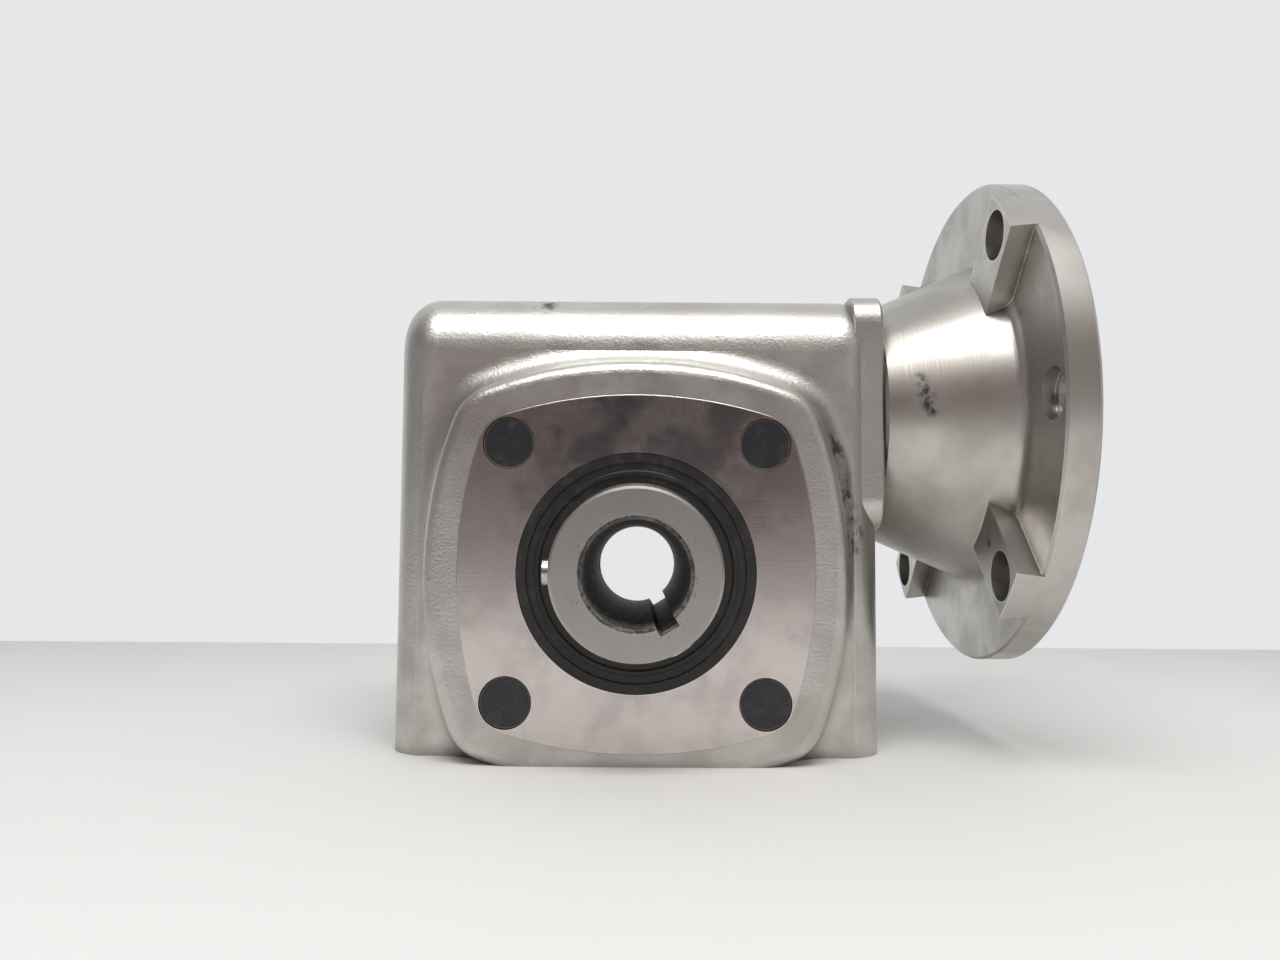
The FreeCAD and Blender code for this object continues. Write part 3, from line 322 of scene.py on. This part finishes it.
def ground_face(name, tone, gloss, centre=None, axis="Y"):
    """Smooth machined steel: long fine scratches, or circles where it was turned, and haze."""
    surface = Surface(name)
    haze = surface.ramp(surface.noise(16 * MM, 4.0, 0.6), 0.35, 0.7)
    specks = surface.ramp(surface.noise(0.9 * MM, 3.0, 0.7), 0.70, 0.78, 0.0, 0.7)
    near = surface.ramp(surface.noise(9 * MM, 2.0, 0.5), 0.50, 0.66)
    colour = surface.tint(haze, tone, darker(tone, 0.86))
    colour = surface.tint(surface.times(specks, near), colour, RUST)
    # Pale edges: painted highlight where edges and chamfers catch the light, and some wear
    colour = surface.stain(colour, surface.edge_wear_and_glint(0.4 * MM), 0.9, shade(0.95, 0.94, 0.92))
    if centre is None:
        lines = surface.noise(0.22 * MM, 3.0, 0.6, stretch=(1, 1, 28), turn=(0, 0.35, 0))
        cross = surface.noise(0.25 * MM, 3.0, 0.6, stretch=(34, 1, 1), turn=(0, 0.9, 0))
        height = surface.math("ADD", lines, surface.times(cross, 0.6))
    else:
        height = surface.rings(axis, centre, 0.22 * MM)
    roughness = surface.ramp(haze, 0.0, 1.0, gloss, gloss + 0.07)
    roughness = surface.math("ADD", roughness, surface.times(height, 0.05))
    return surface.finish(colour, roughness, surface.bump(height, 0.012 * MM))


def machined_cover():
    return ground_face("machined_cover", shade(0.64, 0.585, 0.565), 0.16)


def worm_steel():
    return ground_face("worm_steel", shade(0.55, 0.545, 0.54), 0.18, INPUT_AXIS, "X")


def bearing_steel():
    return ground_face("bearing_steel", shade(0.60, 0.60, 0.61), 0.12, OUTPUT_AXIS)


def shaft_steel():
    """Turned output shaft, rusty round its bore, and near black and mottled inside the bore and
    keyway.
    """
    surface = Surface("shaft_steel")
    across = surface.radius("Y", OUTPUT_AXIS)
    bore = surface.ramp(across, BORE_MOUTH, BORE_MOUTH - 0.5 * MM)
    along = surface.math("ABSOLUTE", surface.part("Y", surface.facing))
    sideways = surface.ramp(along, 0.7, 0.4)
    keyway = surface.times(surface.ramp(across, KEYWAY_TOP, KEYWAY_TOP - 0.6 * MM), sideways)
    inner = surface.math("MAXIMUM", bore, keyway)
    specks = surface.ramp(surface.noise(1.0 * MM, 4.0, 0.75), 0.60, 0.68)
    ring = surface.ramp(across, RUST_EDGE, RUST_EDGE - 8 * MM)
    bore_mottle = surface.ramp(surface.noise(2.5 * MM, 5.0, 0.75), 0.36, 0.60)
    # Inside the bore and keyway the colour goes near black and loses its metal sheen, mottled by
    # noise
    bore_darkening = surface.times(inner, surface.blend(bore_mottle, 0.50, 1.0))
    circles = surface.rings("Y", OUTPUT_AXIS, 0.25 * MM)
    patches = surface.noise(12 * MM, 4.0, 0.6)
    colour = surface.tint(patches, shade(0.50, 0.475, 0.45), shade(0.42, 0.40, 0.375))
    colour = surface.stain(colour, surface.times(specks, ring), 0.8, RUST)
    colour = surface.tint(bore_darkening, colour, shade(0.030, 0.029, 0.027))
    # Pale edges: wear and painted highlight
    colour = surface.stain(colour, surface.edge_wear_and_glint(0.4 * MM), 0.5, shade(0.85, 0.84, 0.82))
    metal_share = surface.math("SUBTRACT", 1.0, bore_darkening, clamp=True)
    surface.feed(surface.shader.inputs["Metallic"], metal_share)
    roughness = surface.blend(inner, 0.33, 0.70)
    roughness = surface.math("ADD", roughness, surface.times(circles, 0.08))
    return surface.finish(colour, roughness, surface.bump(circles, 0.015 * MM))


def plain_steel(name, tone, gloss):
    """Small metal piece: blotched colour, light scuffs, bright edges that are wear and painted
    highlight.
    """
    surface = Surface(name)
    scuffs = surface.noise(0.5 * MM, 4.0, 0.7)
    colour = surface.tint(surface.noise(3 * MM, 4.0, 0.6), tone, darker(tone, 0.7))
    # Pale edges: wear and painted highlight
    colour = surface.stain(colour, surface.edge_wear_and_glint(0.3 * MM), 0.7, shade(0.8, 0.79, 0.77))
    roughness = surface.ramp(scuffs, 0.3, 0.7, gloss, gloss + 0.15)
    return surface.finish(colour, roughness, surface.bump(scuffs, 0.03 * MM))


def fastener_steel():
    return plain_steel("fastener_steel", shade(0.46, 0.46, 0.46), 0.30)


def set_screw_steel():
    return plain_steel("set_screw_steel", shade(0.62, 0.60, 0.56), 0.20)


def key_steel():
    return plain_steel("key_steel", shade(0.36, 0.36, 0.37), 0.30)


def spring_steel():
    return plain_steel("spring_steel", shade(0.50, 0.50, 0.50), 0.22)


def cage_brass():
    return plain_steel("cage_brass", shade(0.66, 0.47, 0.20), 0.28)


def wheel_bronze():
    """Oiled bronze worm wheel."""
    surface = Surface("wheel_bronze")
    patches = surface.noise(7 * MM, 4.0, 0.6)
    cuts = surface.noise(0.4 * MM, 3.0, 0.6, stretch=(1, 12, 1))
    colour = surface.tint(patches, shade(0.62, 0.40, 0.18), shade(0.42, 0.25, 0.10))
    roughness = surface.ramp(cuts, 0.3, 0.7, 0.2, 0.36)
    return surface.finish(colour, roughness, surface.bump(cuts, 0.02 * MM))


# ---------------------------------------------------------------- rubber, gasket and paper

def rubber(name, tone, gloss, grain):
    """Moulded rubber: dusty bloom over a fine grain."""
    surface = Surface(name, metallic=0.0)
    surface.shader.inputs["Specular IOR Level"].default_value = 0.45
    dust = surface.ramp(surface.noise(4 * MM, 5.0, 0.7), 0.45, 0.75)
    pale = shade(*[channel * 1.8 + 0.006 for channel in tone[:3]])
    colour = surface.tint(dust, tone, pale)
    moulded = surface.noise(grain, 3.0, 0.6)
    roughness = surface.ramp(dust, 0.0, 1.0, gloss, gloss + 0.18)
    return surface, colour, roughness, moulded


def seal_rubber():
    """Black lip seal, a little oily."""
    tone = shade(0.018, 0.017, 0.017)
    surface, colour, roughness, moulded = rubber("seal_rubber", tone, 0.38, 0.6 * MM)
    return surface.finish(colour, roughness, surface.bump(moulded, 0.04 * MM))


def plug_rubber():
    """Blue-black plug with pale crust round its rim."""
    tone = shade(0.020, 0.022, 0.027)
    surface, colour, roughness, moulded = rubber("plug_rubber", tone, 0.34, 0.8 * MM)
    crust = surface.times(surface.crevices(2.4 * MM), surface.noise(1.2 * MM, 5.0, 0.8))
    crust = surface.ramp(crust, 0.22, 0.46, 0.0, 0.85)
    colour = surface.tint(crust, colour, shade(0.24, 0.22, 0.17))
    return surface.finish(colour, roughness, surface.bump(moulded, 0.12 * MM))


def gasket():
    """Dark pressed-paper gasket."""
    surface = Surface("gasket", metallic=0.0)
    fibres = surface.noise(0.5 * MM, 4.0, 0.7)
    colour = surface.tint(fibres, shade(0.03, 0.028, 0.025), shade(0.07, 0.062, 0.05))
    roughness = surface.ramp(fibres, 0.2, 0.8, 0.65, 0.85)
    return surface.finish(colour, roughness, surface.bump(fibres, 0.05 * MM))


def floor_paper():
    """Pale sheet of paper with slow waves."""
    surface = Surface("floor_paper", metallic=0.0)
    tone = shade(0.84, 0.835, 0.82)
    colour = surface.tint(surface.noise(60 * MM, 4.0, 0.5), tone, darker(tone, 0.97))
    waves = surface.noise(120 * MM, 3.0, 0.5)
    return surface.finish(colour, 0.8, surface.bump(waves, 1.5 * MM))


FINISHES = (cast_stainless, adapter_cast, machined_cover, gasket, fastener_steel, set_screw_steel,
            plug_rubber, seal_rubber, spring_steel, bearing_steel, cage_brass, shaft_steel,
            worm_steel, wheel_bronze, key_steel)


def paint_nodes():
    """Give every CAD node the finish of its material slot in the record."""
    finishes = {make.__name__: make() for make in FINISHES}
    slot_of = {part["node"]: part["material_slot"] for part in frame["record"]["subparts"]}
    for name, thing in frame["nodes"].items():
        slots = thing.data.materials
        if not slots:
            slots.append(None)
        for index in range(len(slots)):
            slots[index] = finishes[slot_of[name]]


# ---------------------------------------------------------------- floor, light and camera

def make_floor():
    """Pale paper table top."""
    near, far = FLOOR_NEAR, FLOOR_FAR
    corners = [(near.x, near.y, 0), (far.x, near.y, 0), (far.x, far.y, 0), (near.x, far.y, 0)]
    mesh = bpy.data.meshes.new("floor")
    mesh.from_pydata(corners, [], [(0, 1, 2, 3)])
    floor = bpy.data.objects.new("floor", mesh)
    floor.location.z = FLOOR_LEVEL
    floor.data.materials.append(floor_paper())
    bpy.context.scene.collection.objects.link(floor)


# Room walls, each as the direction to it, the cosines where it begins and is full, and its tone:
# bright behind the object, dark behind the camera, darkest just above the camera
ROOM_WALLS = (
    ((0, 1, 0.25), 0.15, 0.70, shade(0.78, 0.79, 0.80)),
    ((-0.25, -1, 0.30), 0.55, 0.93, shade(0.22, 0.165, 0.155)),
    ((0.0, -1, 0.15), 0.976, 0.993, shade(0.0, 0.003, 0.012)),
)
ROOM_LEFT = shade(0.22, 0.22, 0.22)
ROOM_RIGHT = shade(0.50, 0.495, 0.48)
BACKDROP = shade(0.79, 0.80, 0.81)


def make_world():
    """Pale room that lights the object, with an even backdrop where the camera sees it."""
    world = bpy.data.worlds.new("room")
    world.use_nodes = True
    bpy.context.scene.world = world
    tree = world.node_tree
    tree.nodes.clear()
    room = Graph(tree)
    direction = tree.nodes.new("ShaderNodeTexCoord").outputs["Generated"]
    colour = room.tint(room.ramp(room.part("X", direction), -0.8, 0.8), ROOM_LEFT, ROOM_RIGHT)
    for toward, start, end, tone in ROOM_WALLS:
        near = room.vector("DOT_PRODUCT", direction, Vector(toward).normalized(), "Value")
        colour = room.tint(room.ramp(near, start, end), colour, tone)
    seen = tree.nodes.new("ShaderNodeLightPath").outputs["Is Camera Ray"]
    colour = room.tint(seen, colour, BACKDROP)
    background = room.add("ShaderNodeBackground", {"Color": colour, "Strength": 1.0})
    output = tree.nodes.new("ShaderNodeOutputWorld")
    tree.links.new(background.outputs[0], output.inputs[0])


def make_light():
    """One soft light above the object and a little in front of it."""
    data = bpy.data.lights.new("overhead", "AREA")
    data.shape = "RECTANGLE"
    data.size, data.size_y = LIGHT_SIZE
    data.energy = LIGHT_WATTS
    light = bpy.data.objects.new("overhead", data)
    light.location = LIGHT_PLACE
    light.rotation_euler = (LIGHT_AIM - LIGHT_PLACE).to_track_quat("-Z", "Y").to_euler()
    bpy.context.scene.collection.objects.link(light)


def make_camera():
    """Photographic view: square to the front cover, tilted up a little, near the output axis."""
    ahead = Vector((0, math.cos(CAMERA_PITCH), math.sin(CAMERA_PITCH)))
    right = Vector((1, 0, 0))
    above = right.cross(ahead)
    across = right * math.cos(CAMERA_ROLL) + above * math.sin(CAMERA_ROLL)
    upward = above * math.cos(CAMERA_ROLL) - right * math.sin(CAMERA_ROLL)
    turn = Matrix((across, upward, -ahead)).transposed()
    data = bpy.data.cameras.new("camera")
    data.sensor_width = SENSOR_MM
    data.lens = LENS_MM
    data.clip_start = CLIP_START
    camera = bpy.data.objects.new("camera", data)
    camera.matrix_world = Matrix.Translation(CAMERA_PLACE) @ turn.to_4x4()
    bpy.context.scene.collection.objects.link(camera)
    bpy.context.scene.camera = camera


bpy.context.scene.view_settings.view_transform = "Standard"
paint_nodes()
make_floor()
make_world()
make_light()
make_camera()
